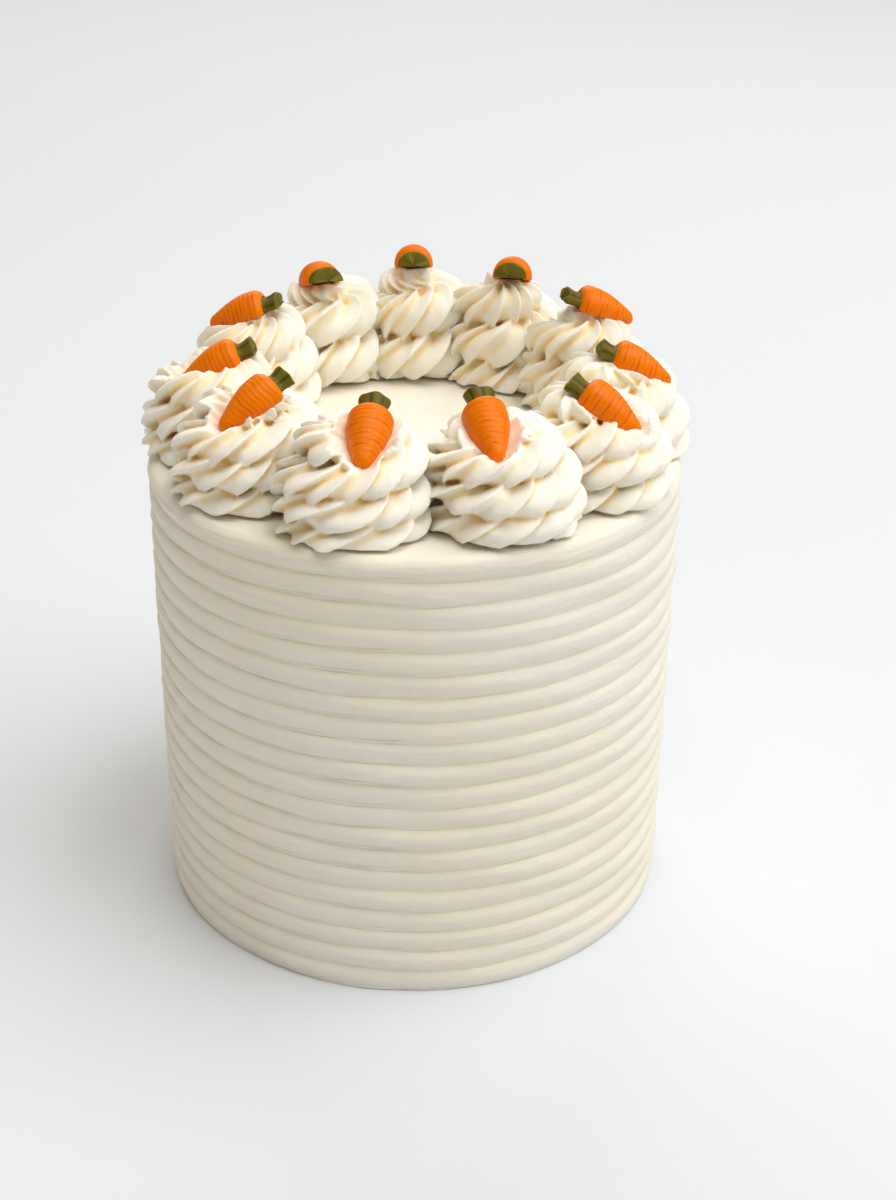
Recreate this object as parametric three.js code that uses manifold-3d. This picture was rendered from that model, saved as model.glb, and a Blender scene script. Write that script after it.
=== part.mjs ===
// Carrot cake: a tall round cake under combed frosting, with a ring of piped
// rosettes on top and a small moulded carrot laid on each rosette.
// Millimetres, +Z up. The origin is the middle of the underside.

import * as THREE from 'three';
import { mergeVertices } from 'three/addons/utils/BufferGeometryUtils.js';
import Module from 'manifold-3d';

const wasm = await Module();
wasm.setup();

// Driving dimensions of the frosted cake.
const CAKE_RADIUS = 84;
const CAKE_HEIGHT = 149;
const BAND_COUNT = 20;
const BAND_DEPTH = 1.1;
const BAND_CREST = 0.42;
const RIM_ROUND = 3;
const CAKE_SEGMENTS = 28;

// The rosettes stand on a circle that sits a little towards the back.
const RING_RADIUS = 66.5;
const RING_SHIFT = 8;
const STAR_POINTS = 8;
const RIDGE_DEPTH = 1.7;
const TWIST_PER_MM = THREE.MathUtils.degToRad(3.4);
const TURN_BETWEEN = THREE.MathUtils.degToRad(47);
const MEAN_WIDTH = 0.94;
const WIDTH_SPREAD = 0.1;
const GAP = 0.3;

// Radius and height of one rosette: the foot, two turns of the swirl and the peak.
const ROSETTE_OUTLINE = [
  [0, 0],
  [18.8, 0],
  [21.4, 4.2],
  [20.4, 9.4],
  [18.8, 12.6],
  [20.0, 17.4],
  [18.6, 22.6],
  [16.8, 26.6],
  [11.4, 32.4],
  [0, 36.0],
];

// Each rosette: its place round the ring in degrees and its share of the full
// height, and how its carrot lies: the height of its middle, its distance outwards
// and sideways from the middle of the rosette, its turn away from straight
// outwards and its slope, both in degrees.
const ROSETTES = [
  { angle: 256.5, height: 0.98, lift: 25.8, out: 2.0, aside: 1.9, twist: 2, slope: 25 },
  { angle: 289.5, height: 0.97, lift: 26.4, out: 0.0, aside: -0.8, twist: -2, slope: 25 },
  { angle: 323.5, height: 0.93, lift: 24.4, out: 4.0, aside: -1.0, twist: 9, slope: 27 },
  { angle: 354.5, height: 0.95, lift: 24.8, out: 1.6, aside: 0.6, twist: 3, slope: 24 },
  { angle: 29, height: 1.04, lift: 31.7, out: 1.2, aside: -1.2, twist: -14, slope: 20 },
  { angle: 64.5, height: 1.1, lift: 34.2, out: 2.0, aside: -5.0, twist: 12, slope: 16 },
  { angle: 91, height: 1.13, lift: 35.4, out: 3.0, aside: 0.0, twist: 0, slope: 14 },
  { angle: 117, height: 1.08, lift: 32.5, out: 1.0, aside: 5.0, twist: -2, slope: 16 },
  { angle: 147, height: 0.99, lift: 28.0, out: 0.4, aside: 1.2, twist: 19, slope: 20 },
  { angle: 187, height: 0.96, lift: 24.6, out: -4.6, aside: -0.4, twist: 0, slope: 25 },
  { angle: 220.5, height: 0.96, lift: 26.2, out: -0.6, aside: 3.4, twist: -3, slope: 25 },
];

// The moulded carrots: a domed root with a flat underside, and its green stub.
const ROOT_LENGTH = 20.5;
const ROOT_RADIUS = 6.6;
const TOP_LENGTH = 4.8;
const DOME_RATIO = 1.0;
const BELLY = 1.0;
const CARROT_SEGMENTS = 12;

// Length from the tip and radius of the root, as shares of its full sizes.
const ROOT_OUTLINE = [
  [0, 0],
  [0.03, 0.34],
  [0.4, 0.76],
  [0.74, 1.0],
  [0.93, 0.9],
  [1, 0.64],
  [1, 0],
];

// Length from the root and radius of the stub, the radius as a share of the root's.
const TOP_OUTLINE = [
  [0, 0],
  [0, 0.68],
  [0.45, 0.6],
  [1, 0.72],
  [1, 0],
];

const MERGE_DISTANCE = 1e-4;
const CUTTER_SIZE = 400;

const frosting = { color: 0xf3ecdc, roughness: 0.6, metalness: 0 };
const cream = { color: 0xfaf5ea, roughness: 0.55, metalness: 0 };
const orangeSweet = { color: 0xee7a12, roughness: 0.3, metalness: 0 };
const greenSweet = { color: 0x66701f, roughness: 0.35, metalness: 0 };

// A turned shape about +Z, from [radius, height] pairs that start and end on the axis.
function turned(outline, segments) {
  const points = outline.map(([radius, height]) => new THREE.Vector2(radius, height));
  return new THREE.LatheGeometry(points, segments).rotateX(Math.PI / 2);
}

// The closed solid of a geometry: shared vertices merged, empty triangles dropped.
function solidOf(geometry) {
  const bare = geometry.clone();
  bare.deleteAttribute('normal');
  bare.deleteAttribute('uv');
  const merged = mergeVertices(bare, MERGE_DISTANCE);
  const index = merged.index.array;
  const triangles = [];
  for (let i = 0; i < index.length; i += 3) {
    const [a, b, c] = [index[i], index[i + 1], index[i + 2]];
    if (a !== b && b !== c && c !== a) {
      triangles.push(a, b, c);
    }
  }
  return new wasm.Manifold(new wasm.Mesh({
    numProp: 3,
    vertProperties: new Float32Array(merged.attributes.position.array),
    triVerts: new Uint32Array(triangles),
  }));
}

function geometryOf(solid) {
  const mesh = solid.getMesh();
  const geometry = new THREE.BufferGeometry();
  geometry.setAttribute('position', new THREE.BufferAttribute(mesh.vertProperties, 3));
  geometry.setIndex(new THREE.BufferAttribute(mesh.triVerts, 1));
  geometry.computeVertexNormals();
  return geometry;
}

function meshOf(name, solid, look) {
  const mesh = new THREE.Mesh(geometryOf(solid), new THREE.MeshStandardMaterial(look));
  mesh.name = name;
  return mesh;
}

// Everything on the far side of a plane through a point, as a large box.
function beyond(point, normal) {
  const box = new THREE.BoxGeometry(CUTTER_SIZE, CUTTER_SIZE, CUTTER_SIZE);
  box.translate(0, 0, CUTTER_SIZE / 2);
  const turn = new THREE.Quaternion();
  turn.setFromUnitVectors(new THREE.Vector3(0, 0, 1), normal);
  box.applyQuaternion(turn);
  box.translate(point.x, point.y, point.z);
  return solidOf(box);
}

// The frosted cake: a comb has left even bands all the way up its side.
function cakeOutline() {
  const pitch = CAKE_HEIGHT / BAND_COUNT;
  const outline = [[0, 0]];
  for (let band = 0; band < BAND_COUNT; band += 1) {
    outline.push([CAKE_RADIUS - BAND_DEPTH, band * pitch]);
    outline.push([CAKE_RADIUS, (band + BAND_CREST) * pitch]);
  }
  outline.push([CAKE_RADIUS - RIM_ROUND * 0.1, CAKE_HEIGHT - RIM_ROUND * 0.5]);
  outline.push([CAKE_RADIUS - RIM_ROUND * 0.4, CAKE_HEIGHT - RIM_ROUND * 0.12]);
  outline.push([CAKE_RADIUS - RIM_ROUND, CAKE_HEIGHT]);
  outline.push([0, CAKE_HEIGHT]);
  return outline;
}

// Width across the ring as a share of the full one: the room is widest in front.
function widthAt(angleDegrees) {
  return MEAN_WIDTH - WIDTH_SPREAD * Math.sin(THREE.MathUtils.degToRad(angleDegrees));
}

function ringPlace(angleDegrees) {
  const angle = THREE.MathUtils.degToRad(angleDegrees);
  const x = RING_RADIUS * Math.cos(angle);
  const y = RING_SHIFT + RING_RADIUS * Math.sin(angle);
  return new THREE.Vector3(x, y, CAKE_HEIGHT + GAP);
}

// Turns +X towards the outside of the ring, and stands at the rosette's foot.
function ringFrame(angleDegrees) {
  const turn = new THREE.Matrix4().makeRotationZ(THREE.MathUtils.degToRad(angleDegrees));
  return new THREE.Matrix4().setPosition(ringPlace(angleDegrees)).multiply(turn);
}

// One rosette before its neighbours press on it: the ridges of a star nozzle
// rise anticlockwise round the swirl, seen from above.
function rosetteGeometry(rosette, order) {
  const geometry = turned(ROSETTE_OUTLINE, STAR_POINTS * 2);
  const position = geometry.attributes.position;
  const point = new THREE.Vector3();
  for (let i = 0; i < position.count; i += 1) {
    point.fromBufferAttribute(position, i);
    const radius = Math.hypot(point.x, point.y);
    const angle = Math.atan2(point.y, point.x);
    const ridge = radius > RIDGE_DEPTH ? RIDGE_DEPTH * Math.cos(STAR_POINTS * angle) : 0;
    const turnedAngle = angle + TWIST_PER_MM * point.z + TURN_BETWEEN * order;
    const x = (radius + ridge) * Math.cos(turnedAngle);
    const y = (radius + ridge) * Math.sin(turnedAngle);
    position.setXYZ(i, x * widthAt(rosette.angle), y, point.z * rosette.height);
  }
  return geometry.applyMatrix4(ringFrame(rosette.angle));
}

// Cuts a rosette halfway to its neighbour, where the two press together.
function pressedBy(solid, own, other) {
  const here = ringPlace(own.angle);
  const there = ringPlace(other.angle);
  const normal = there.clone().sub(here).normalize();
  const middle = here.clone().add(there).multiplyScalar(0.5);
  middle.addScaledVector(normal, -GAP / 2);
  return solid.subtract(beyond(middle, normal));
}

// A turned outline laid along +X, its length from the tip, flattened to a dome
// above z = -BELLY. grow widens it all round, tall stretches the dome upwards.
function laidDome(outline, length, radius, start, grow, tall) {
  const grown = outline.map(([along, share]) => {
    const reach = along * length + (along < 0.5 ? -grow : grow);
    return [share === 0 ? 0 : share * radius + grow, reach];
  });
  const geometry = turned(grown, CARROT_SEGMENTS);
  geometry.rotateY(-Math.PI / 2);
  geometry.scale(1, 1, DOME_RATIO * tall);
  geometry.translate(-start, 0, 0);
  const underside = new THREE.Vector3(0, 0, -BELLY - grow);
  return solidOf(geometry).subtract(beyond(underside, new THREE.Vector3(0, 0, -1)));
}

function rootSolid(grow, tall) {
  return laidDome(ROOT_OUTLINE, ROOT_LENGTH, ROOT_RADIUS, 0, grow, tall);
}

function topSolid(grow, tall) {
  return laidDome(TOP_OUTLINE, TOP_LENGTH, ROOT_RADIUS, ROOT_LENGTH + GAP, grow, tall);
}

// Lays a carrot on its rosette: tip outwards and down, stub over the peak.
function carrotFrame(rosette) {
  const middle = (ROOT_LENGTH + GAP + TOP_LENGTH) / 2;
  const centred = new THREE.Matrix4().makeTranslation(middle, 0, 0);
  const sloped = new THREE.Matrix4().makeRotationY(THREE.MathUtils.degToRad(rosette.slope));
  const twisted = new THREE.Matrix4().makeRotationZ(THREE.MathUtils.degToRad(rosette.twist));
  const placed = new THREE.Matrix4().makeTranslation(rosette.out, rosette.aside, rosette.lift);
  return ringFrame(rosette.angle).multiply(placed).multiply(twisted).multiply(sloped).multiply(centred);
}

function movedBy(solid, matrix) {
  return solidOf(geometryOf(solid).applyMatrix4(matrix));
}

const cake = new THREE.Group();
cake.add(meshOf('cake_body', solidOf(turned(cakeOutline(), CAKE_SEGMENTS)), frosting));

ROSETTES.forEach((rosette, order) => {
  const before = ROSETTES[(order + ROSETTES.length - 1) % ROSETTES.length];
  const after = ROSETTES[(order + 1) % ROSETTES.length];
  const label = String(order + 1).padStart(2, '0');
  const frame = carrotFrame(rosette);
  let swirl = solidOf(rosetteGeometry(rosette, order));
  swirl = pressedBy(swirl, rosette, before);
  swirl = pressedBy(swirl, rosette, after);
  swirl = swirl.subtract(movedBy(rootSolid(GAP, 4), frame));
  swirl = swirl.subtract(movedBy(topSolid(GAP, 4), frame));
  cake.add(meshOf(`rosette_${label}`, swirl, cream));
  cake.add(meshOf(`carrot_root_${label}`, movedBy(rootSolid(0, 1), frame), orangeSweet));
  cake.add(meshOf(`carrot_top_${label}`, movedBy(topSolid(0, 1), frame), greenSweet));
});

export default cake;
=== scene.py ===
"""Carrot cake: a comb-banded frosted cake, a ring of piped rosettes and a moulded carrot on each."""

import math

import bmesh
import bpy
import numpy as np
from mathutils import Matrix, Vector


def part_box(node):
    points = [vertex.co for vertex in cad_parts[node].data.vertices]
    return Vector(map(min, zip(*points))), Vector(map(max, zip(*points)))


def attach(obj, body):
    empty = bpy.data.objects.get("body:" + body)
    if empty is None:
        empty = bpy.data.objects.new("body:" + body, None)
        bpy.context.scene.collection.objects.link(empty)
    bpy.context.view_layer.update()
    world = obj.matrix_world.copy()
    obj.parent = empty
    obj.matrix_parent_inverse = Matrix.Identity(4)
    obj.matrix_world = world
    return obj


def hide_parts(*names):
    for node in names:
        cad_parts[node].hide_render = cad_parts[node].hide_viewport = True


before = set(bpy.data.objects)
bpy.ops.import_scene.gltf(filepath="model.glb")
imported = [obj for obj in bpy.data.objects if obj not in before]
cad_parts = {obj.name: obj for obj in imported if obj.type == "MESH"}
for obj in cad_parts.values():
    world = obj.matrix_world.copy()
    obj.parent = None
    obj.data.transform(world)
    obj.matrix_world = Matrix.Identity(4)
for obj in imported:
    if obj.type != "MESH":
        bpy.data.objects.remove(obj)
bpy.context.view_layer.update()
CAKE_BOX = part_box("cake_body")
PLACES = [f"{number:02d}" for number in range(1, 12)]
TURN = 2 * math.pi
MM = 0.001
SAME_POINT = 1e-7  # points nearer than this, in metres, are one point

bl_info = {
    "name": "Carrot cake",
    "version": (1, 0, 0),
    "blender": (4, 5, 0),
    "location": "View3D > Sidebar > Cake",
    "description": "Builds a frosted carrot cake with piped rosettes and moulded carrots",
    "category": "Add Mesh",
}


# Sizes and colours -----------------------------------------------------------


def length(name, description, default):
    """A length in metres, given in millimetres."""
    return bpy.props.FloatProperty(
        name=name, description=description, default=default * MM, unit="LENGTH", precision=5,
    )


def share(name, description, default):
    """A plain number, such as a share or a count of turns."""
    return bpy.props.FloatProperty(name=name, description=description, default=default)


def colour(name, description, default):
    """A linear colour."""
    return bpy.props.FloatVectorProperty(
        name=name, description=description, default=default, subtype="COLOR", size=3,
    )


class FrostingSizes(bpy.types.PropertyGroup):
    """Shape of the frosted body."""

    radius: length("Radius", "Radius over the crests of the bands", CAKE_BOX[1].x / MM)
    height: length("Height", "Height of the frosted body", CAKE_BOX[1].z / MM)
    bands: bpy.props.IntProperty(name="Bands", description="Bands left by the comb", default=20)
    band_depth: length("Band depth", "Depth of the groove under each band", 1.0)
    rim_round: length("Rim round", "Radius of the rounded top edge", 3)
    wander: length("Wander", "How far the comb strays up and down", 0.24)
    seam_step: length("Seam step", "Step where the comb's pass ends beside its start", 0.6)
    seam_angle: share("Seam angle", "Where the comb's pass starts, in degrees", 267.2)
    segments: bpy.props.IntProperty(name="Segments", description="Steps round the cake", default=300)


class RosetteSizes(bpy.types.PropertyGroup):
    """Shape of the piped rosettes."""

    star_points: bpy.props.IntProperty(name="Star points", description="Points of the nozzle", default=4)
    twist: share("Twist", "Turns of the rope about itself for each turn of the swirl", 3.1)
    ridge: length("Ridge radius", "Radius of the piped rope over its ridges", 10.0)
    valley: length("Valley radius", "Radius of the piped rope in its valleys", 5.6)
    squash: share("Squash", "Height of the laid rope as a share of its width, in front", 0.62)
    squash_behind: share("Squash behind", "The same share at the back of the ring", 0.86)
    wraps_behind: share("Wraps behind", "Turns of a back swirl as a share of a front one's", 0.68)
    ring_shift: length("Ring shift", "How far the ring stands back of the middle", 8)
    mean_width: share("Mean width", "Width across the ring as a share of the full one", 0.99)
    width_spread: share("Width spread", "How much wider the front rosettes are", 0.15)
    side_inset: length("Side inset", "How much nearer the middle the rosettes at the sides stand", 3)
    full_height: length("Full height", "Height of a rosette of full size", 36)
    lean_in: length("Lean", "How far the peak leans towards the middle of the cake", 1.6)
    voxel: length("Voxel", "Fineness of the surface", 0.43)


class CarrotSizes(bpy.types.PropertyGroup):
    """Shape of the moulded carrots."""

    root_length: length("Root length", "Length of the orange root", 20.5)
    root_radius: length("Root radius", "Half of its width at the shoulder", 6.6)
    stub_length: length("Stub length", "Length of the green stub", 4.8)
    belly: length("Belly", "Depth of the flat underside below the middle", 1.0)
    dome: share("Dome", "Height of the dome as a share of half its width", 1.0)
    rings: bpy.props.IntProperty(name="Rings", description="Creases across the root", default=13)
    ring_depth: length("Ring depth", "Depth of a crease", 0.2)


class CakeColours(bpy.types.PropertyGroup):
    """Colours of the frosting, the cream and the sweets, and of the painted shade in their folds, creases
    and grooves.
    """

    frosting: colour("Frosting", "Frosting on the side and top", (0.88, 0.848, 0.76))
    # Painted warm shade and real patches: this yellower colour fills random patches and the grooves between
    # the bands.
    frosting_warm_and_shade: colour("Frosting, warm", "Where the frosting is yellower", (0.86, 0.79, 0.60))
    cream: colour("Cream", "Piped cream", (0.915, 0.885, 0.795))
    # Painted warm shade: this yellower colour of the folds stands in for shade and light bounced among
    # them, not for a colour of the cream.
    shaded_crease: colour("Crease", "Cream deep in the folds", (0.92, 0.70, 0.31))
    stain: colour("Stain", "Cream coloured by the sweets", (0.86, 0.50, 0.34))
    orange: colour("Orange", "Root of the carrots", (0.85, 0.195, 0.001))
    # Painted shade and random patches: the deeper orange fills the root's creases and random patches.
    orange_deep_and_shade: colour("Orange, deep", "Creases of the root", (0.62, 0.10, 0.001))
    green: colour("Green", "Stub of the carrots", (0.145, 0.122, 0.012))
    # Painted shade and random patches: the deeper green fills the stub's grooves and random patches.
    green_deep_and_shade: colour("Green, deep", "Grooves of the stub", (0.05, 0.044, 0.005))
    floor: colour("Floor", "Floor and backdrop", (0.71, 0.75, 0.81))


class StudioSetup(bpy.types.PropertyGroup):
    """Where the camera stands and how bright the lights are."""

    camera_distance: length("Camera distance", "From the middle of the cake, along the floor", 527.6)
    camera_height: length("Camera height", "Above the floor", 360.1)
    camera_pitch: share("Camera pitch", "Degrees below level", 26.69)
    camera_yaw: share("Camera yaw", "Degrees to the right", 1.175)
    camera_roll: share("Camera roll", "Degrees anticlockwise", 0.796)
    camera_lens: share("Lens", "Focal length in millimetres", 53.7)
    key_power: share("Key power", "Watts of the large soft light", 90.0)
    back_power: share("Back light power", "Watts of the light from behind", 26.0)
    top_power: share("Top light power", "Watts of the light from above", 19.0)
    sky: share("Sky", "Strength of the light all round", 0.32)


# Small tools -----------------------------------------------------------------


def blend(low, high, amount):
    """From low, at an amount of 0, to high, at 1."""
    return low + (high - low) * amount


def eased(value, start, end):
    """0 before start, 1 after end and smooth between."""
    step = np.clip((value - start) / (end - start), 0, 1)
    return step * step * (3 - 2 * step)


def bell(distance, width):
    """1 where the distance is 0, falling smoothly to nothing past the width."""
    return np.exp(-(distance / width) ** 2)


WAVES = 5


def wave_sum(angle, seed, slowest, fastest):
    """An even wander round a circle, about -1 to 1, the same for the same seed."""
    draw = np.random.default_rng(seed)
    total = np.zeros_like(angle)
    for _ in range(WAVES):
        total += np.sin(angle * draw.integers(slowest, fastest + 1) + draw.uniform(0, TURN))
    return total / math.sqrt(WAVES)


def grid_sheet(bm, across, along):
    """Adds a sheet of quads, and gives its two running shares from 0 to 1 for each vertex."""
    made = bmesh.ops.create_grid(bm, x_segments=across, y_segments=along, size=1)["verts"]
    flat = np.array([vert.co[:] for vert in made])
    return made, (flat[:, 0] + 1) / 2, (flat[:, 1] + 1) / 2


def place(verts, points):
    """Moves each vertex to its point."""
    for vert, point in zip(verts, points):
        vert.co = point


def closed_tube(bm, across, along, surface):
    """Rolls a sheet into a tube, given by surface(round, along), and closes its ends."""
    verts, u, v = grid_sheet(bm, across, along)
    place(verts, surface(u * TURN, v))
    bmesh.ops.remove_doubles(bm, verts=verts, dist=SAME_POINT)
    rims = [edge for edge in bm.edges if edge.is_boundary]
    if rims:
        bmesh.ops.holes_fill(bm, edges=rims, sides=0)


def piece_from(bm, name, material):
    """Turns a bmesh into a smoothly shaded piece with its normals facing out."""
    bmesh.ops.recalc_face_normals(bm, faces=bm.faces)
    mesh = bpy.data.meshes.new(name)
    bm.to_mesh(mesh)
    bm.free()
    piece = bpy.data.objects.new(name, mesh)
    bpy.context.collection.objects.link(piece)
    mesh.materials.append(material)
    mesh.shade_smooth()
    return piece


def points_of(mesh):
    flat = np.empty(len(mesh.vertices) * 3, dtype=np.float32)
    mesh.vertices.foreach_get("co", flat)
    return flat.reshape(-1, 3).astype(float)


def set_points(mesh, points):
    mesh.vertices.foreach_set("co", points.astype(np.float32).ravel())
    mesh.update()


def joined_pairs(mesh):
    """The two vertices of each edge."""
    flat = np.empty(len(mesh.edges) * 2, dtype=np.int32)
    mesh.edges.foreach_get("vertices", flat)
    return flat.reshape(-1, 2)


def neighbour_mean(values, pairs, count):
    """Each vertex's mean of the values at its neighbours."""
    first, second = pairs[:, 0], pairs[:, 1]
    number = np.bincount(first, minlength=count) + np.bincount(second, minlength=count)
    columns = values.reshape(count, -1)
    total = np.stack([
        np.bincount(first, weights=column[second], minlength=count)
        + np.bincount(second, weights=column[first], minlength=count)
        for column in columns.T
    ], axis=1)
    return (total / np.maximum(number, 1)[:, None]).reshape(values.shape)


def settle(piece):
    """Makes the piece's modifiers part of its mesh."""
    shaped = piece.evaluated_get(bpy.context.evaluated_depsgraph_get())
    mesh = bpy.data.meshes.new_from_object(shaped)
    old, name = piece.data, piece.data.name
    piece.modifiers.clear()
    piece.data = mesh
    bpy.data.meshes.remove(old)
    mesh.name = name


def store(mesh, name, values):
    """Keeps a number for each vertex, for a material to read by its name."""
    layer = mesh.attributes.new(name, "FLOAT", "POINT")
    layer.data.foreach_set("value", values.astype(np.float32))


# Shader maths ----------------------------------------------------------------


# The colour sockets of a Mix node, by number, because its other sockets share their names.
MIX_FIRST = 6
MIX_SECOND = 7
MIX_RESULT = 2


class Wire:
    """A socket that adds Math nodes when it is used in an expression."""

    def __init__(self, finish, socket):
        self.finish = finish
        self.socket = socket

    def _with(self, operation, first, second):
        made = self.finish.node("ShaderNodeMath", {"operation": operation}, {0: first, 1: second})
        return Wire(self.finish, made.outputs[0])

    def __add__(self, other):
        return self._with("ADD", self, other)

    def __mul__(self, other):
        return self._with("MULTIPLY", self, other)

    __radd__ = __add__
    __rmul__ = __mul__


class Finish:
    """A named material whose nodes are added one call at a time."""

    def __init__(self, name, **constants):
        self.material = bpy.data.materials.new(name)
        self.material.use_nodes = True
        self.tree = self.material.node_tree
        self.shader = self.tree.nodes["Principled BSDF"]
        for socket, value in constants.items():
            self.shader.inputs[socket.replace("_", " ")].default_value = value

    def node(self, kind, settings=None, sockets=None):
        """A node of a kind, its settings first and then its sockets' values or links."""
        made = self.tree.nodes.new(kind)
        for key, value in (settings or {}).items():
            setattr(made, key, value)
        for key, value in (sockets or {}).items():
            self.feed(made.inputs[key], value)
        return made

    def feed(self, socket, value):
        """Gives a socket a value, or a link when the value is an output of another node."""
        if isinstance(value, Wire):
            self.tree.links.new(value.socket, socket)
        elif isinstance(value, bpy.types.NodeSocket):
            self.tree.links.new(value, socket)
        elif socket.type == "RGBA" and len(value) == 3:
            socket.default_value = (*value, 1)
        else:
            socket.default_value = value

    def set(self, socket, value):
        self.feed(self.shader.inputs[socket], value)

    def wire(self, node, output):
        return Wire(self, node.outputs[output])

    def coordinates(self, scale=(1, 1, 1)):
        """Object coordinates, stretched by scale."""
        source = self.node("ShaderNodeTexCoord")
        mapped = self.node("ShaderNodeMapping", None, {"Vector": source.outputs["Object"], "Scale": scale})
        return mapped.outputs[0]

    def attribute(self, name):
        return self.wire(self.node("ShaderNodeAttribute", {"attribute_name": name}), "Fac")

    def mottle(self, scale, detail, stretch=(1, 1, 1), roughness=0.5):
        """Soft uneven patches between 0 and 1."""
        made = self.node("ShaderNodeTexNoise", None, {
            "Vector": self.coordinates(stretch), "Scale": scale, "Detail": detail, "Roughness": roughness,
        })
        return self.wire(made, "Fac")

    def spread(self, value, low, high):
        """The value carried from low..high to 0..1, and kept there."""
        made = self.node("ShaderNodeMapRange", {"interpolation_type": "SMOOTHSTEP"}, {
            "Value": value, "From Min": low, "From Max": high,
        })
        return self.wire(made, "Result")

    def mixed(self, amount, first, second):
        """One colour into another by amount."""
        made = self.node("ShaderNodeMix", {"data_type": "RGBA"}, {
            "Factor": amount, MIX_FIRST: first, MIX_SECOND: second,
        })
        return made.outputs[MIX_RESULT]

    def bump(self, height, distance, strength, below=None):
        """Relief that rises by the distance, in metres, where the height is 1, on the relief below."""
        sockets = {"Height": height, "Distance": distance, "Strength": strength}
        if below is not None:
            sockets["Normal"] = below
        return self.node("ShaderNodeBump", None, sockets).outputs["Normal"]


def frosting_finish():
    """Smooth ivory frosting with comb streaks, faint patches, pinholes and painted warm shade in the
    grooves between the bands.
    """
    tones = bpy.context.scene.cake_colours
    finish = Finish(
        "frosting", Subsurface_Weight=0.18, Subsurface_Scale=0.006, Subsurface_Radius=(1.0, 0.7, 0.4),
        Specular_IOR_Level=0.35,
    )
    patches = finish.spread(finish.mottle(14, 3), 0.38, 0.66)
    streaks = finish.mottle(120, 4, stretch=(0.16, 0.16, 4.0))
    fine = finish.mottle(900, 3)
    shaded_groove = finish.attribute("shaded_groove")
    # Painted warm shade in the grooves, on top of random yellower patches.
    tint = finish.mixed(patches * 0.35 + shaded_groove * 0.45, tuple(tones.frosting), tuple(tones.frosting_warm_and_shade))
    finish.set("Base Color", tint)
    finish.set("Roughness", 0.52 + streaks * 0.16)
    holes = finish.node("ShaderNodeTexVoronoi", None, {"Vector": finish.coordinates(), "Scale": 260.0})
    pinholes = finish.spread(finish.wire(holes, "Distance"), 0.0, 0.16)
    uneven = finish.mottle(170, 4, stretch=(1, 1, 1.6), roughness=0.6)
    dents = finish.bump(uneven, distance=0.0008, strength=0.4)
    streaked = finish.bump(streaks, distance=0.0005, strength=0.5, below=dents)
    grained = finish.bump(fine, distance=0.00012, strength=0.5, below=streaked)
    finish.set("Normal", finish.bump(pinholes, distance=0.0001, strength=0.3, below=grained))
    return finish.material


def cream_finish():
    """Whipped cream, with painted warm shade deep in its folds, and faintly coloured round the sweets."""
    tones = bpy.context.scene.cake_colours
    finish = Finish(
        "piped_cream", Subsurface_Weight=0.4, Subsurface_Scale=0.004, Subsurface_Radius=(1.0, 0.75, 0.45),
        Specular_IOR_Level=0.35,
    )
    shaded_crease = finish.attribute("shaded_crease")
    stain = finish.attribute("stain")
    patches = finish.mottle(120, 3)
    # Painted warm shade: the folds are tinted by how hollow they lie.
    warm = finish.mixed(shaded_crease, tuple(tones.cream), tuple(tones.shaded_crease))
    coloured = finish.mixed(stain * finish.spread(patches, 0.35, 0.7) * 0.6, warm, tuple(tones.stain))
    finish.set("Base Color", coloured)
    finish.set("Roughness", 0.42 + patches * 0.2)
    soft = finish.bump(finish.mottle(420, 3), distance=0.0003, strength=0.35)
    finish.set("Normal", finish.bump(finish.mottle(1500, 2), distance=0.0001, strength=0.35, below=soft))
    return finish.material


def sweet_finish(name, base, deep):
    """A moulded sweet with a faint gloss, with painted shade in its creases and deeper patches at random.
    """
    finish = Finish(name, Specular_IOR_Level=0.06, Coat_Weight=0.15, Coat_Roughness=0.1)
    crease_shade = finish.attribute("shaded_crease")
    patches = finish.mottle(160, 3)
    # Painted shade: the creases take the deeper colour, as do random patches.
    tint = finish.mixed(finish.spread(crease_shade * 0.8 + patches * 0.4, 0.15, 1.0), tuple(base), tuple(deep))
    finish.set("Base Color", tint)
    finish.set("Roughness", 0.26 + patches * 0.16)
    dimples = finish.bump(finish.mottle(700, 2), distance=0.0003, strength=0.5)
    finish.set("Normal", finish.bump(finish.mottle(2600, 2), distance=0.00006, strength=0.4, below=dimples))
    return finish.material


def floor_finish():
    """Matt pale paper."""
    tones = bpy.context.scene.cake_colours
    finish = Finish("studio_floor", Specular_IOR_Level=0.2)
    patches = finish.mottle(3, 2)
    darker = tuple(tone * 0.985 for tone in tones.floor)
    finish.set("Base Color", finish.mixed(patches, tuple(tones.floor), darker))
    finish.set("Roughness", 0.8 + patches * 0.05)
    return finish.material


# The frosted body ------------------------------------------------------------


# Heights within one band at which its outline has a point, closest together by its groove.
BAND_STEPS = (0.0, 0.03, 0.07, 0.12, 0.17, 0.22, 0.30, 0.42, 0.56, 0.70, 0.82, 0.92, 0.975)

# How high in a band its fullest part lies, and how full the band is beside it.
BAND_LIFT = 1.3
BAND_FULLNESS = 2.0

# How far in the foot stands, in band depths, and the rim, in metres.
FOOT_INSET = 1.6
RIM_INSET = 0.0002

RIM_STEPS = 8
TOP_RINGS = 26


def band_shape(step):
    """Swell of one band from its lower edge, 0, to its upper edge, 1: fullest above its middle."""
    return 1 - abs(2 * step ** BAND_LIFT - 1) ** BAND_FULLNESS


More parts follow.
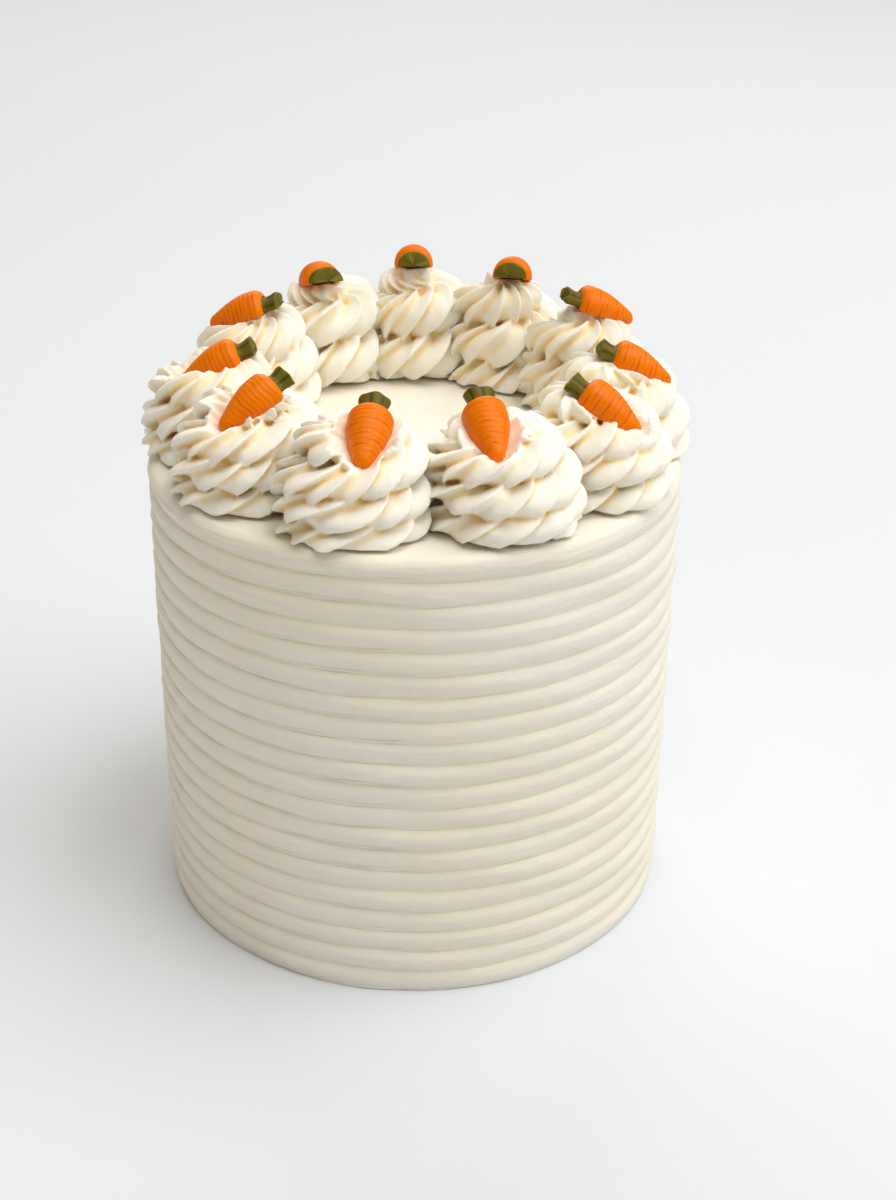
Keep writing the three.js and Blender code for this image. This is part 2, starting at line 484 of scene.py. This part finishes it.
def frosting_outline(sizes):
    """Radius and height up the side, over the rim and in to the middle."""
    pitch = sizes.height / sizes.bands
    foot = sizes.radius - sizes.band_depth * FOOT_INSET
    outline = [(0.0, 0.0), (sizes.radius * 0.5, 0.0), (foot, 0.0)]
    for band in range(sizes.bands):
        for step in BAND_STEPS:
            height = (band + step) * pitch
            radius = sizes.radius - sizes.band_depth * (1 - band_shape(step))
            if height < sizes.height - sizes.rim_round:
                outline.append((radius, height))
    for step in range(RIM_STEPS + 1):
        turn = step / RIM_STEPS * TURN / 4
        outline.append((
            sizes.radius - sizes.rim_round * (1 - math.cos(turn)) - RIM_INSET,
            sizes.height - sizes.rim_round * (1 - math.sin(turn)),
        ))
    inside = sizes.radius - sizes.rim_round
    outline += [(inside * (1 - ring / TOP_RINGS), sizes.height) for ring in range(1, TOP_RINGS + 1)]
    return outline


# How deep the comb's unevenness is, in metres.
SLOW_SWELL = 0.00016
QUICK_SWELL = 0.00010
BAND_SWELL = 0.00014
SEAM_DENT = 0.00022
SECOND_LINE = 0.00034
SECOND_CREST = 0.00030
TOP_SWELL = 0.00022
TOP_RIPPLE = 0.00018
TOP_SINK = 0.00025

# How far its marks reach: round the cake in radians, and up a band as a share of it.
SEAM_REACH = 0.05
SECOND_LINE_REACH = 0.55
LINE_WIDTH = 0.05
GROOVE_SHADE_WIDTH = 0.09

# Points farther in than this, in band depths, are not part of the side.
SIDE_DEPTH = 1.7


def comb_lift(sizes, angle, share_up, from_seam, near_seam):
    """How far the comb strays up and down, with a step where its pass ends."""
    stray = wave_sum(angle, 11, 2, 5) + 0.45 * wave_sum(angle + share_up * 2, 12, 6, 17)
    return sizes.wander * stray * 0.6 + sizes.seam_step * (from_seam - 0.5) * (1 - near_seam)


def comb_swell(sizes, angle, share_up, from_seam, dent):
    """How far the side swells in and out, with fainter second lines before the seam."""
    swell = SLOW_SWELL * wave_sum(angle + share_up * 5, 13, 3, 9)
    swell += QUICK_SWELL * wave_sum(angle - share_up * 31, 14, 14, 38)
    swell += BAND_SWELL * np.sin(share_up * 83 + angle) * wave_sum(angle, 15, 2, 7)
    swell -= dent
    before_seam = bell((1 - from_seam) * TURN, SECOND_LINE_REACH)
    doubled = 0.5 + 0.5 * wave_sum(share_up * 41, 17, 1, 5)
    share_in_band = np.mod(share_up * sizes.bands, 1)
    swell -= SECOND_LINE * before_seam * doubled * bell(share_in_band - 0.17, LINE_WIDTH)
    swell += SECOND_CREST * before_seam * doubled * bell(share_in_band - 0.07, LINE_WIDTH)
    return swell


def top_dips(sizes, radius, angle):
    """How far the top lies above its level."""
    dips = TOP_SWELL * wave_sum(angle, 16, 2, 5) * eased(radius, 0.0, sizes.radius)
    dips += TOP_RIPPLE * np.sin(radius * 260 + angle * 2)
    return dips - TOP_SINK


class CAKE_OT_frosting(bpy.types.Operator):
    """Frosted body with the bands of a comb up its side"""

    bl_idname = "cake.frosting"
    bl_label = "Frosted body"

    def execute(self, context):
        sizes = context.scene.frosting_sizes
        bm = bmesh.new()
        profile = [bm.verts.new((radius, 0, height)) for radius, height in frosting_outline(sizes)]
        edges = [bm.edges.new(pair) for pair in zip(profile, profile[1:])]
        bmesh.ops.spin(
            bm, geom=profile + edges, cent=(0, 0, 0), axis=(0, 0, 1), angle=TURN,
            steps=sizes.segments, use_merge=True,
        )
        bmesh.ops.remove_doubles(bm, verts=bm.verts, dist=SAME_POINT)
        cake = piece_from(bm, "frosted_cake", frosting_finish())
        points = points_of(cake.data)
        self.mark_groove_shade(cake.data, points, sizes)
        set_points(cake.data, self.uneven(points, sizes))
        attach(cake, "root")
        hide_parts("cake_body")
        return {"FINISHED"}

    @staticmethod
    def uneven(points, sizes):
        """Gives the smooth body the marks of a comb and a knife held by hand."""
        radius = np.hypot(points[:, 0], points[:, 1])
        angle = np.arctan2(points[:, 1], points[:, 0])
        share_up = points[:, 2] / sizes.height
        side = eased(radius, sizes.radius * 0.9, sizes.radius * 0.96)
        clear_of_ends = eased(share_up, 0.0, 0.03) * (1 - eased(share_up, 0.97, 0.995))
        from_seam = np.mod(angle - math.radians(sizes.seam_angle), TURN) / TURN
        near_seam = bell(np.minimum(from_seam, 1 - from_seam) * TURN, SEAM_REACH)
        swell = comb_swell(sizes, angle, share_up, from_seam, SEAM_DENT * near_seam * side)
        outward = 1 + side * swell / np.maximum(radius, SAME_POINT)
        points[:, 0] *= outward
        points[:, 1] *= outward
        points[:, 2] += side * clear_of_ends * comb_lift(sizes, angle, share_up, from_seam, near_seam)
        points[:, 2] += eased(share_up, 0.96, 1.0) * top_dips(sizes, radius, angle)
        return points

    @staticmethod
    def mark_groove_shade(mesh, points, sizes):
        """Marks the grooves between the bands, where the finish paints warm shade."""
        share_in_band = np.mod(points[:, 2] / sizes.height * sizes.bands + 0.5, 1) - 0.5
        radius = np.hypot(points[:, 0], points[:, 1])
        side = radius > sizes.radius - sizes.band_depth * SIDE_DEPTH
        below_rim = points[:, 2] < sizes.height - sizes.rim_round
        store(mesh, "shaded_groove", bell(share_in_band, GROOVE_SHADE_WIDTH) * side * below_rim)


# The carrots -----------------------------------------------------------------


# Where a carrot's frame lies in its place: ahead of the root's middle as a share of its
# length, and below it as a share of its radius.
ROOT_FORWARD = 0.02
ROOT_SUNK = 0.12

# The carrots with broader stubs, counted from 0.
BROAD_STUBS = (5, 6, 7)
BROADER = 1.14

# Steps round and along each part, and how near its points are, in metres, when they are joined.
ROOT_GRID = (64, 96)
STUB_GRID = (48, 24)
CARROT_WELD = 2e-6


class Carrot:
    """Where one carrot lies: its own frame runs from the stub to the tip, +X, with +Z out of its dome."""

    def __init__(self, label, sizes):
        root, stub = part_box(f"carrot_root_{label}"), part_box(f"carrot_top_{label}")
        root_middle, stub_middle = (root[0] + root[1]) / 2, (stub[0] + stub[1]) / 2
        tipward = (root_middle - stub_middle).normalized()
        side = Vector((0, 0, 1)).cross(tipward).normalized()
        upward = tipward.cross(side)
        ahead = tipward * sizes.root_length * ROOT_FORWARD
        middle = root_middle + ahead - upward * sizes.root_radius * ROOT_SUNK
        turn = Matrix((tipward, side, upward)).transposed().to_4x4()
        self.frame = Matrix.Translation(middle) @ turn

    def local(self, points):
        """Points in the carrot's own frame."""
        inverse = np.array(self.frame.inverted())
        return points @ inverse[:3, :3].T + inverse[:3, 3]

    def world(self, points):
        """Points of the carrot's own frame, where they lie on the cake."""
        matrix = np.array(self.frame)
        return points @ matrix[:3, :3].T + matrix[:3, 3]


# The root's outline: width behind its tip as a share of the widest, and the stretches of its
# length, from the tip, over which it widens, rounds off at the tip and draws in at the shoulder.
TIP_WIDTH = 0.30
WIDENS_TO = 0.78
TIP_ROUND = 0.1
SHOULDER_FROM = 0.84
SHOULDER_RUN = 0.16
SHOULDER_DROP = 0.62


def root_width(along):
    """Half width of the root as a share of its widest, from its tip, 0, to its shoulder, 1."""
    taper = blend(TIP_WIDTH, 1, np.sin(np.clip(along / WIDENS_TO, 0, 1) * math.pi / 2) ** 1.15)
    tip = np.sqrt(np.clip(1 - (1 - np.clip(along / TIP_ROUND, 0, 1)) ** 2, 0, 1))
    drawn_in = np.clip((along - SHOULDER_FROM) / SHOULDER_RUN, 0, 1) ** 2.6 * SHOULDER_DROP
    shoulder = np.sqrt(np.clip(1 - drawn_in, 0, 1))
    return taper * tip * shoulder


def domed(angle, half_width, dome, belly):
    """A section that is round above and almost flat below."""
    across = half_width * np.cos(angle)
    rise = half_width * dome * np.sin(angle)
    flat = -np.minimum(belly, half_width * 0.8)
    return across, np.where(rise > flat, rise, flat + (rise - flat) * 0.02)


# The root's relief: the stretch at the tip where its rings of points are closer together, how
# far the creases wander and how wide they are, as shares of the length and of their distance,
# and how much the root swells between them.
CLOSE_RINGS = 0.15
CREASE_WANDER = 0.016
CREASE_WIDTH = 0.13
SWELL_BETWEEN = 0.012


def root_surface(sizes, order):
    """The creased root, from its tip to its shoulder."""
    def surface(angle, share):
        close = (share / CLOSE_RINGS) ** 1.6 * CLOSE_RINGS
        along = np.where(share < CLOSE_RINGS, close, share)
        width = root_width(along) * sizes.root_radius
        wander = CREASE_WANDER * wave_sum(angle, 40 + order, 1, 4)
        within = np.mod((along + wander) * sizes.rings, 1)
        past_tip = eased(along, 0.05, 0.14)
        depth = np.clip(0.55 + 0.45 * wave_sum(angle + along * 19, 60 + order, 1, 5), 0.1, 1.2)
        # The crease cuts into the root and also marks where the finish paints shade.
        shaded_crease = bell(within - 0.5, CREASE_WIDTH) * depth
        shaded_crease *= past_tip * (1 - eased(along, 0.9, 0.97))
        bulge = SWELL_BETWEEN * np.cos(within * TURN) * past_tip
        width = width * (1 - bulge) - shaded_crease * sizes.ring_depth
        across, rise = domed(angle, width, sizes.dome, sizes.belly)
        return np.stack([sizes.root_length * (0.5 - along), across, rise], axis=1), shaded_crease
    return surface


# The stub: its half width as a share of the root's where it leaves the root, at its waist
# and how much it gains towards its cut end, and how far it reaches into the root, in metres.
STUB_NECK = 0.68
STUB_WAIST = 0.60
STUB_GAIN = 0.12
STUB_OVERLAP = 0.0006
STUB_CUT_BULGE = 0.0006
STUB_RAGGED = 0.0003

# Its section: waves round it, depth of its grooves, and its dome and belly as shares of the root's.
STUB_WAVES = 3.5
STUB_GROOVE = 0.09
STUB_DOME = 0.86
STUB_BELLY = 0.4


def stub_surface(sizes, order):
    """The grooved stub, from inside the root to its cut end."""
    def surface(angle, along):
        run = np.clip((along - 0.06) / 0.82, 0, 1)
        closing = eased(along, 0.88, 1.0)
        width = blend(STUB_NECK, STUB_WAIST, eased(run, 0, 0.35)) + STUB_GAIN * eased(run, 0.35, 1)
        width = width * np.sqrt(np.clip(1 - closing * 0.999, 0.0, 1))
        width = width * np.where(along < 0.02, 0.0, 1.0)
        ribs = np.abs(np.sin(angle * STUB_WAVES + order + 0.25 * np.sin(run * 3)))
        # The groove cuts into the stub and also marks where the finish paints shade.
        shaded_groove = (1 - ribs) ** 2 * eased(along, 0.04, 0.3) * (1 - eased(along, 0.80, 0.9))
        broad = BROADER if order in BROAD_STUBS else 1.0
        width = width * sizes.root_radius * broad * (1 - STUB_GROOVE * shaded_groove)
        across, rise = domed(angle, width, sizes.dome * STUB_DOME, sizes.belly * STUB_BELLY)
        ragged = STUB_RAGGED * wave_sum(angle, 80 + order, 2, 6) * run
        bulge = STUB_CUT_BULGE * closing
        start = -sizes.root_length / 2 + STUB_OVERLAP
        x = start - run * (sizes.stub_length + STUB_OVERLAP) - ragged - bulge
        return np.stack([x, across, rise], axis=1), shaded_groove
    return surface


class CAKE_OT_carrots(bpy.types.Operator):
    """Moulded carrots: a creased orange root and a grooved green stub for each rosette"""

    bl_idname = "cake.carrots"
    bl_label = "Moulded carrots"

    def execute(self, context):
        sizes = context.scene.carrot_sizes
        tones = context.scene.cake_colours
        orange = sweet_finish("orange_sweet", tones.orange, tones.orange_deep_and_shade)
        green = sweet_finish("green_sweet", tones.green, tones.green_deep_and_shade)
        for order, label in enumerate(PLACES):
            carrot = Carrot(label, sizes)
            root, stub = root_surface(sizes, order), stub_surface(sizes, order)
            self.part(carrot, label, "carrot_root", orange, "orange_sweet", root, ROOT_GRID)
            self.part(carrot, label, "carrot_top", green, "green_sweet", stub, STUB_GRID)
        return {"FINISHED"}

    @staticmethod
    def part(carrot, label, name, material, slot, surface, counts):
        """One part of a carrot, from a sheet rolled up by surface(angle, along)."""
        bm = bmesh.new()
        # This layer marks where the finish paints shade in the creases and grooves.
        layer = bm.verts.layers.float.new("shaded_crease")
        verts, u, v = grid_sheet(bm, *counts)
        points, shaded_crease = surface(u * TURN, v)
        place(verts, carrot.world(points))
        for vert, amount in zip(verts, shaded_crease):
            vert[layer] = float(amount)
        bmesh.ops.remove_doubles(bm, verts=verts, dist=CARROT_WELD)
        piece = piece_from(bm, f"sugar_{name}_{label}", material)
        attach(piece, "root")
        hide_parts(f"{name}_{label}")


# The rosettes ----------------------------------------------------------------


# Stations of the swirl: turns piped so far, distance of the rope from the middle,
# its height above the cake and its thickness as a share of the full one.
SWIRL = (
    (-0.95, 14.6, 1.0, 0.84),
    (-0.45, 14.8, 2.6, 0.94),
    (0.0, 14.4, 5.6, 1.00),
    (1.0, 13.4, 14.6, 1.00),
    (2.0, 10.6, 23.0, 0.98),
    (2.6, 7.4, 27.0, 0.88),
    (3.0, 4.0, 30.0, 0.78),
    (3.4, 0.4, 33.0, 0.46),
)


# How a back rosette's twist and thickness and a front one's breadth differ from the usual.
TWIST_FRONT = 0.90
TWIST_BEHIND = 1.08
THICK_BEHIND = 1.10
BROAD_FRONT = 1.07

# How unevenly the rope is piped, as shares of its measures or, for the rolls, in radians.
TURNS_STRAY = 0.10
DISTANCE_STRAY = 0.035
ROUGH = 0.03
DEPTH_STRAY = 0.22
POINTS_DRIFT = 0.34
ROLL_STRAY = 0.42
TWIST_STRAY = 0.05

# The rope's section: how round its valleys are and how far its crests fold over, and how
# steeply the rope stands up where the peak is pulled off.
VALLEY_ROUND = 0.03
CREST_FOLD = 0.55
PEAK_STEEP = 1.45

# How far a rosette is sunk into the cake, and how high the cream is spread where it meets
# the cake, in metres; how far it spreads there and what is left of its depth.
SUNK = 0.0002
FOOT = 0.0008
FOOT_SPREAD = 0.35
FOOT_FLAT = 0.06

# The core, in metres: its height and the radius of its top, in front and behind, the radius
# of its foot, and how far above the cake it starts.
CORE_TALL = (0.0290, 0.0345)
CORE_TOP = (0.0045, 0.0056)
CORE_FOOT = 0.0160
CORE_START = 0.0005
CORE_RIDGES = 5
CORE_RIDGE_DEPTH = 0.2

# How a rosette gives way to the next: how far it may pass the middle between them, and
# how much of what is past that is pressed back.
PAST_MIDDLE = 0.0004
GIVE = 0.25

# The carrot's bed: how steeply the cream rises beside it, how far off it is still pressed,
# what is left of its height above the bed, and how far the sweet's colour runs into it.
BED_SLOPE = 0.5
BED_CURVE = 0.0055
BED_REACH = 0.006
BED_LEFT = 0.05
STAIN_REACH = 0.0035
STUB_BED = 0.56  # half width of the bed under the stub, as a share of the root's radius

STEPS_PER_POINT = 12
ROPE_STEPS = 240

# Smoothing that keeps the volume, and the hollow, in metres, that takes the full painted shade of a crease
# when it is measured against points this many steps off and blurred this many times.
SMOOTHING = (0.6, -0.35) * 3
FULL_CREASE_SHADE = 0.00027
CREASE_SHADE_SPREAD = 10
CREASE_SHADE_BLUR = 3


def stations(turns):
    """The swirl's distance, height and thickness at its turns."""
    table = np.array(SWIRL)
    return [np.interp(turns, table[:, 0], table[:, column]) for column in (1, 2, 3)]


class Swirl:
    """One rosette: a star-shaped rope laid in a rising, narrowing spiral."""

    def __init__(self, label, order, sizes, carrots):
        self.label = label
        self.order = order
        self.sizes = sizes
        self.carrots = carrots
        self.carrot = Carrot(label, carrots)
        draw = np.random.default_rng(500 + order)
        ring_middle = Vector((0, sizes.ring_shift, 0))
        low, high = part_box(f"rosette_{label}")
        outward = (low + high) / 2 - ring_middle
        self.angle = math.atan2(outward.y, outward.x)
        self.tall = (high.z - low.z) / sizes.full_height
        self.base = low.z - SUNK
        reach = Vector((outward.x, outward.y, 0)).length - sizes.side_inset * math.cos(self.angle) ** 2
        self.foot = ring_middle + Vector((math.cos(self.angle), math.sin(self.angle), 0)) * reach
        self.start = draw.uniform(0, TURN)
        self.behind = 0.5 + 0.5 * math.sin(self.angle)
        usual = blend(TWIST_FRONT, TWIST_BEHIND, self.behind)
        self.twist = sizes.twist * (usual + draw.uniform(-TWIST_STRAY, TWIST_STRAY))
        self.wraps = blend(1.0, sizes.wraps_behind, self.behind)
        self.thick = blend(1.0, THICK_BEHIND, self.behind)
        self.squash = blend(sizes.squash, sizes.squash_behind, self.behind)

    def star(self, around, theta):
        """The rope's radius round its star-shaped section, and 1 on its crests and 0 in its valleys."""
        sizes, order = self.sizes, self.order
        points = sizes.star_points
        depth = 1 + DEPTH_STRAY * wave_sum(around + theta * 0.31, 640 + order, 1, points - 1)
        drift = POINTS_DRIFT * wave_sum(around, 610 + order, 1, 2) * np.sin(theta * 0.9 + order)
        lobe = np.clip(np.sqrt(np.sin(around * points / 2 + drift) ** 2 + VALLEY_ROUND), 0, 1)
        return sizes.ridge - (sizes.ridge - sizes.valley) * lobe * depth, 1 - lobe

    def rope(self, around, along):
        """The rope's surface, in the rosette's own frame: +X points out of the ring."""
        first, last = SWIRL[0][0], SWIRL[-1][0]
        turns = blend(first, last, along)
        theta = self.start + turns * TURN * self.wraps
        strayed = turns + TURNS_STRAY * wave_sum(theta * 0.5, 600 + self.order, 1, 3)
        distance, height, thick = stations(np.clip(strayed, first, last))
        distance = distance * MM * (1 + DISTANCE_STRAY * wave_sum(theta, 620 + self.order, 1, 3))
        height = height * MM * self.tall
        section, crest = self.star(around, theta)
        rough = 1 + ROUGH * wave_sum(theta * 3 + around, 660 + self.order, 2, 7)
        section = section * thick * self.thick * rough
        roll = theta * self.twist - around - CREST_FOLD * crest ** 1.2
        roll += ROLL_STRAY * wave_sum(theta * 0.8, 680 + self.order, 1, 4)
        steep = eased(turns, 2.1, 3.2) * PEAK_STEEP
        out, up = np.cos(roll), np.sin(roll) * blend(self.squash, 1.0, eased(turns, 2.2, 3.0))
        x = distance + section * out
        tangent = -np.sin(steep) * section * up
        z = height + np.cos(steep) * section * up
        return np.stack([
            np.cos(theta) * x - np.sin(theta) * tangent,
            np.sin(theta) * x + np.cos(theta) * tangent,
            z,
        ], axis=1)

    def laid(self, points):
        """Settles the soft rope: spread flat on the cake, leaning in, and set in its place."""
        sizes = self.sizes
        radius = np.maximum(np.hypot(points[:, 0], points[:, 1]), 1e-6)
        sunk = np.clip(FOOT - points[:, 2], 0, 0.01)
        spread = 1 + sunk * FOOT_SPREAD / radius
        points[:, 0] *= spread
        points[:, 1] *= spread
        points[:, 2] = np.where(points[:, 2] < FOOT, FOOT - sunk * FOOT_FLAT, points[:, 2])
        points[:, 0] -= sizes.lean_in * eased(points[:, 2], 0.012, 0.032)
        points[:, 0] *= sizes.mean_width - sizes.width_spread * math.sin(self.angle)
        points[:, 1] *= blend(BROAD_FRONT, 1.0, self.behind)
        turn = Matrix.Rotation(self.angle, 3, "Z")
        points = points @ np.array(turn).T
        points += np.array([self.foot.x, self.foot.y, self.base])
        return points

    def squeeze(self, points, neighbours):
        """Presses the rosette flatter against the ones beside it."""
        here = np.array(self.foot)[:2]
        for other in neighbours:
            there = np.array(other.foot)[:2]
            way = there - here
            half = np.linalg.norm(way) / 2
            way = way / (2 * half)
            reach = (points[:, :2] - here) @ way
            over = np.clip(reach - (half + PAST_MIDDLE), 0, None)
            points[:, :2] -= np.outer(over * GIVE, way)
        return points

    def press(self, points):
        """Presses the carrot's bed into the cream, and gives how far each point is from the carrot."""
        local = self.carrot.local(points)
        sizes = self.carrots
        half = sizes.root_length / 2
        along = np.clip((half - local[:, 0]) / sizes.root_length, 0, 1)
        width = root_width(along) * sizes.root_radius
        width = np.where(local[:, 0] < -half, sizes.root_radius * STUB_BED, width)
        past_tip = np.clip(local[:, 0] - half, 0, None)
        past_stub = np.clip(-half - sizes.stub_length - local[:, 0], 0, None)
        beside = np.clip(np.abs(local[:, 1]) - width, 0, None)
        away = np.sqrt(beside ** 2 + past_tip ** 2 + past_stub ** 2)
        below = np.clip(-sizes.belly - local[:, 2], 0, None)
        ragged = 1 + 0.45 * wave_sum(local[:, 0] * 900 + local[:, 1] * 500, 700 + self.order, 1, 4)
        rise = (away * BED_SLOPE + away ** 2 / BED_CURVE) * np.clip(ragged, 0.7, 1.5)
        ceiling = -sizes.belly + rise
        pressed = np.where(local[:, 2] > ceiling, ceiling + (local[:, 2] - ceiling) * BED_LEFT, local[:, 2])
        local[:, 2] = np.where(away < BED_REACH, pressed, local[:, 2])
        return self.carrot.world(local), np.hypot(away, below)


class CAKE_OT_rosettes(bpy.types.Operator):
    """Rosettes piped with a star nozzle, each pressed by its neighbours and its carrot"""

    bl_idname = "cake.rosettes"
    bl_label = "Piped rosettes"

    def execute(self, context):
        sizes = context.scene.rosette_sizes
        carrots = context.scene.carrot_sizes
        cream = cream_finish()
        swirls = [Swirl(label, order, sizes, carrots) for order, label in enumerate(PLACES)]
        for swirl in swirls:
            beside = [swirls[swirl.order - 1], swirls[(swirl.order + 1) % len(swirls)]]
            self.pipe(swirl, beside, cream)
        return {"FINISHED"}

    @staticmethod
    def core(bm, swirl):
        """Cream inside the swirl, ridged like it, so that it has no hollow."""
        tall = blend(*CORE_TALL, swirl.behind) * swirl.tall
        top = blend(*CORE_TOP, swirl.behind)
        made = bmesh.ops.create_cone(
            bm, cap_ends=True, segments=48, radius1=CORE_FOOT, radius2=top, depth=tall,
        )["verts"]
        bmesh.ops.translate(bm, verts=made, vec=(0, 0, tall / 2 + CORE_START))
        for vert in made:
            angle = math.atan2(vert.co.y, vert.co.x)
            wave = math.cos(CORE_RIDGES * angle + vert.co.z * 130 + swirl.order)
            ridge = 1 + CORE_RIDGE_DEPTH * wave
            vert.co.x *= ridge
            vert.co.y *= ridge

    def pipe(self, swirl, beside, cream):
        sizes = swirl.sizes
        bm = bmesh.new()
        closed_tube(bm, sizes.star_points * STEPS_PER_POINT, ROPE_STEPS, swirl.rope)
        self.core(bm, swirl)
        piece = piece_from(bm, f"piped_rosette_{swirl.label}", cream)
        points = swirl.laid(points_of(piece.data))
        points = swirl.squeeze(points, beside)
        points, _ = swirl.press(points)
        set_points(piece.data, points)
        remesh = piece.modifiers.new("even", "REMESH")
        remesh.mode = "VOXEL"
        remesh.voxel_size = sizes.voxel
        settle(piece)
        self.soften(piece.data, swirl)
        piece.data.shade_smooth()
        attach(piece, "root")
        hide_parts(f"rosette_{swirl.label}")

    @staticmethod
    def soften(mesh, swirl):
        """Smooths the voxel steps, and marks the folds, which the finish fills with painted warm shade, and
        the cream that the carrot touches.
        """
        count = len(mesh.vertices)
        pairs = joined_pairs(mesh)
        points = points_of(mesh)
        for weight in SMOOTHING:
            points += (neighbour_mean(points, pairs, count) - points) * weight
        points[:, 2] = np.maximum(points[:, 2], swirl.base + SUNK)
        set_points(mesh, points)
        flat = np.empty(count * 3, dtype=np.float32)
        mesh.vertices.foreach_get("normal", flat)
        normals = flat.reshape(-1, 3)
        # How hollow each point lies, which places the painted warm shade in the folds.
        wide = points.copy()
        for _ in range(CREASE_SHADE_SPREAD):
            wide = neighbour_mean(wide, pairs, count)
        hollow = ((wide - points) * normals).sum(axis=1) / FULL_CREASE_SHADE
        for _ in range(CREASE_SHADE_BLUR):
            hollow = neighbour_mean(hollow, pairs, count)
        store(mesh, "shaded_crease", np.clip(hollow, 0, 1))
        _, away = swirl.press(points.copy())
        store(mesh, "stain", np.clip(1 - away / STAIN_REACH, 0, 1) ** 1.3)


# The studio ------------------------------------------------------------------


def aim(obj, position, target):
    obj.location = position
    obj.rotation_euler = (Vector(target) - Vector(position)).to_track_quat("-Z", "Y").to_euler()


def soft_light(name, power, size, position, target, tone):
    lamp = bpy.data.lights.new(name, "AREA")
    lamp.energy = power
    lamp.shape = "RECTANGLE"
    lamp.size, lamp.size_y = size
    lamp.color = tone
    obj = bpy.data.objects.new(name, lamp)
    bpy.context.collection.objects.link(obj)
    aim(obj, position, target)


# How far the floor reaches each way and how near the camera sees, in metres, and the width
# of its sensor, in millimetres.
FLOOR_REACH = 8
NEAREST = 0.01
SENSOR_WIDTH = 36

SKY_TONE = (1.0, 0.85, 0.68, 1)


class CAKE_OT_studio(bpy.types.Operator):
    """Pale floor, soft lights and the camera"""

    bl_idname = "cake.studio"
    bl_label = "Studio"

    def execute(self, context):
        setup = context.scene.studio_setup
        self.floor()
        self.lights(setup)
        self.camera(context.scene, setup)
        return {"FINISHED"}

    @staticmethod
    def floor():
        bm = bmesh.new()
        bmesh.ops.create_grid(bm, x_segments=8, y_segments=8, size=FLOOR_REACH)
        floor = piece_from(bm, "studio_floor", floor_finish())

    @staticmethod
    def lights(setup):
        soft_light(
            "key", setup.key_power, size=(3.3, 3.3), position=(1.8, -0.25, 2.75), target=(0, 0, 0.1),
            tone=(1.0, 1.0, 1.0),
        )
        soft_light(
            "top_light", setup.top_power, size=(1.6, 1.6), position=(0.0, -0.5, 2.4), target=(0, 0, 0.15),
            tone=(1.0, 0.97, 0.90),
        )
        soft_light(
            "back_light", setup.back_power, size=(2.2, 1.4), position=(-0.2, 2.6, 1.9), target=(0, 0, 0.15),
            tone=(1.0, 0.98, 0.95),
        )
        world = bpy.data.worlds.new("studio")
        world.use_nodes = True
        bpy.context.scene.world = world
        background = world.node_tree.nodes["Background"]
        background.inputs["Color"].default_value = SKY_TONE
        background.inputs["Strength"].default_value = setup.sky

    @staticmethod
    def camera(scene, setup):
        pitch = math.radians(setup.camera_pitch)
        yaw = math.radians(setup.camera_yaw)
        lens = bpy.data.cameras.new("camera")
        lens.lens = setup.camera_lens
        lens.sensor_width = SENSOR_WIDTH
        lens.clip_start = NEAREST
        camera = bpy.data.objects.new("camera", lens)
        bpy.context.collection.objects.link(camera)
        turn = Matrix.Rotation(-yaw, 4, "Z") @ Matrix.Rotation(TURN / 4 - pitch, 4, "X")
        turn = turn @ Matrix.Rotation(math.radians(setup.camera_roll), 4, "Z")
        spot = Matrix.Translation((0, -setup.camera_distance, setup.camera_height))
        camera.matrix_world = spot @ turn
        scene.camera = camera
        scene.view_settings.view_transform = "Standard"


# The sidebar and the run -----------------------------------------------------


class CAKE_PT_build(bpy.types.Panel):
    """Builds the cake a step at a time"""

    bl_label = "Carrot cake"
    bl_idname = "CAKE_PT_build"
    bl_space_type = "VIEW_3D"
    bl_region_type = "UI"
    bl_category = "Cake"

    def draw(self, context):
        scene = context.scene
        for heading, group in (
            ("Frosting", scene.frosting_sizes),
            ("Rosettes", scene.rosette_sizes),
            ("Carrots", scene.carrot_sizes),
            ("Colours", scene.cake_colours),
            ("Studio", scene.studio_setup),
        ):
            box = self.layout.box()
            box.label(text=heading)
            for name in group.__annotations__:
                box.prop(group, name)
        for step in STEPS:
            self.layout.operator(step.bl_idname)


GROUPS = {
    "frosting_sizes": FrostingSizes,
    "rosette_sizes": RosetteSizes,
    "carrot_sizes": CarrotSizes,
    "cake_colours": CakeColours,
    "studio_setup": StudioSetup,
}
STEPS = (CAKE_OT_studio, CAKE_OT_frosting, CAKE_OT_rosettes, CAKE_OT_carrots)


def register():
    for made in (*GROUPS.values(), *STEPS, CAKE_PT_build):
        bpy.utils.register_class(made)
    for name, group in GROUPS.items():
        setattr(bpy.types.Scene, name, bpy.props.PointerProperty(type=group))


def unregister():
    for name in GROUPS:
        delattr(bpy.types.Scene, name)
    for made in reversed((*GROUPS.values(), *STEPS, CAKE_PT_build)):
        bpy.utils.unregister_class(made)


def main():
    register()
    for step in STEPS:
        area, name = step.bl_idname.split(".")
        getattr(getattr(bpy.ops, area), name)()


if __name__ == "__main__":
    main()
